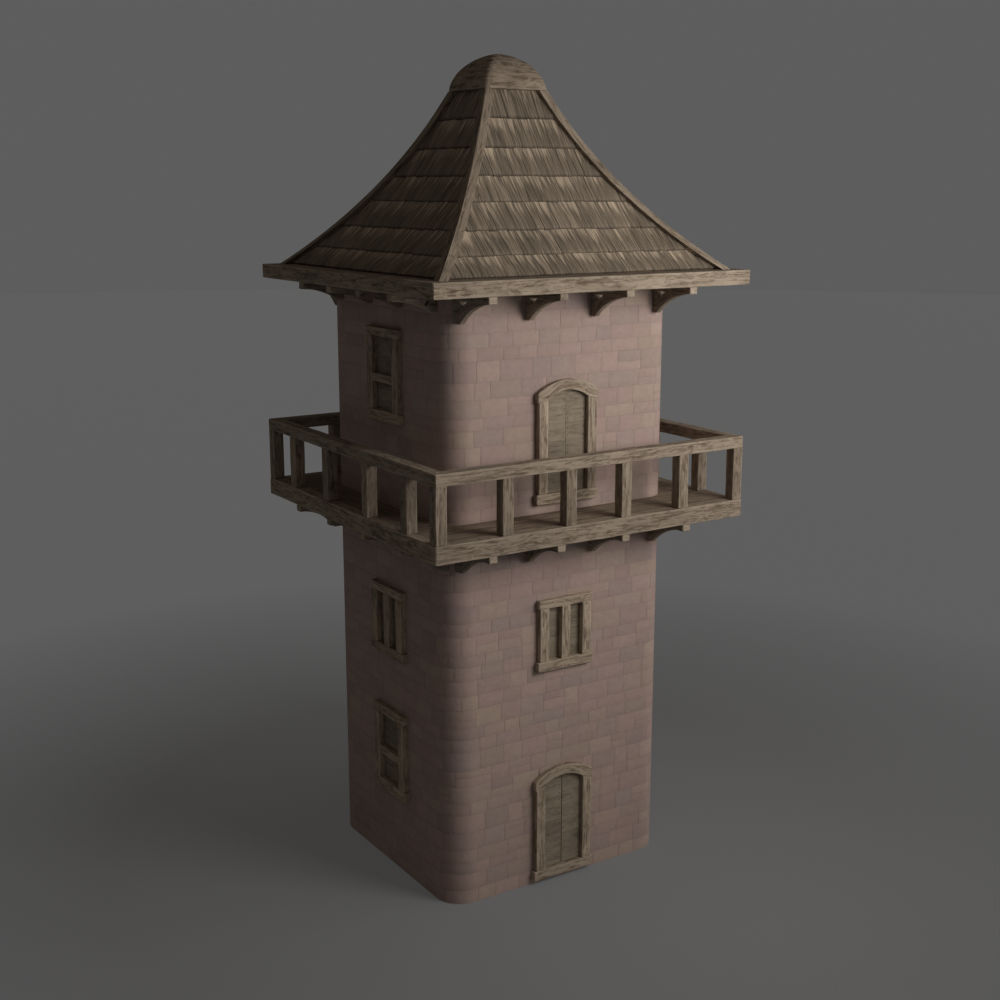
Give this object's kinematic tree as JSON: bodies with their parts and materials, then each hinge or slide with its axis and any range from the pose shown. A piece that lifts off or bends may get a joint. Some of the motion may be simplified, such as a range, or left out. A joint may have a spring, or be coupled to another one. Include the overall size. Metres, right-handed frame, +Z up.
{
  "type": "stone watchtower",
  "caption": "Square stone watchtower with rounded corners, boarded windows, a timber balcony on brackets and a curved hipped shingle roof under a domed cap.",
  "frame": {"origin": "centre of the tower's base on the ground", "axes": "+Z up, the wall with the doors faces -Y, +X to the right of someone facing that wall"},
  "size_m": [6.77, 6.77, 15.616],
  "materials": {
    "wall_stone": "coursed dressed blocks with tight joints",
    "floor_stone": "worn flags",
    "weathered_timber": "rough weathered grain",
    "deck_boards": "dark sawn boards",
    "door_boards": "grey weathered boards",
    "hinge_iron": "blackened",
    "roof_shingles": "split shingles in courses"
  },
  "bodies": {
    "tower": {"corner_piers": "wall_stone", "front_wall_piers": "wall_stone", "front_wall_bands": "wall_stone", "back_wall_piers": "wall_stone", "back_wall_bands": "wall_stone", "side_wall_piers": "wall_stone", "side_wall_bands": "wall_stone", "ground_floor": "floor_stone", "first_floor": "deck_boards", "upper_floor": "deck_boards", "balcony_decks_front_back": "deck_boards", "balcony_decks_sides": "deck_boards", "roof_floor": "deck_boards", "window_boards": "deck_boards", "balcony_joists": "deck_boards", "door_jambs": "weathered_timber", "door_heads": "weathered_timber", "door_sills": "weathered_timber", "window_heads": "weathered_timber", "window_jambs": "weathered_timber", "window_sills": "weathered_timber", "window_bars": "weathered_timber", "balcony_beams_front_back": "weathered_timber", "balcony_beams_sides": "weathered_timber", "handrails_front_back": "weathered_timber", "handrails_sides": "weathered_timber", "corner_posts": "weathered_timber", "rail_posts": "weathered_timber", "balcony_bracket_arms": "weathered_timber", "balcony_bracket_braces": "weathered_timber", "eave_beams_front_back": "weathered_timber", "eave_beams_sides": "weathered_timber", "eave_bracket_arms": "weathered_timber", "eave_bracket_braces": "weathered_timber", "hip_boards": "weathered_timber", "roof_cap": "weathered_timber", "balcony_door_leaves": "door_boards", "door_pintles": "hinge_iron", "roof_slopes_front_back": "roof_shingles", "roof_slopes_sides": "roof_shingles"},
    "door_right": {"door_leaf_right": "door_boards", "door_straps_right": "hinge_iron"},
    "door_left": {"door_leaf_left": "door_boards", "door_straps_left": "hinge_iron"}
  },
  "joints": [
    {"name": "door_right_hinge", "type": "hinge", "parent": "tower", "child": "door_right", "pos_m": [0.465, -2.227, 0.9], "axis": [0, 0, -1], "range_deg": [0, 90]},
    {"name": "door_left_hinge", "type": "hinge", "parent": "tower", "child": "door_left", "pos_m": [-0.465, -2.227, 0.9], "axis": [0, 0, 1], "range_deg": [0, 90]}
  ]
}
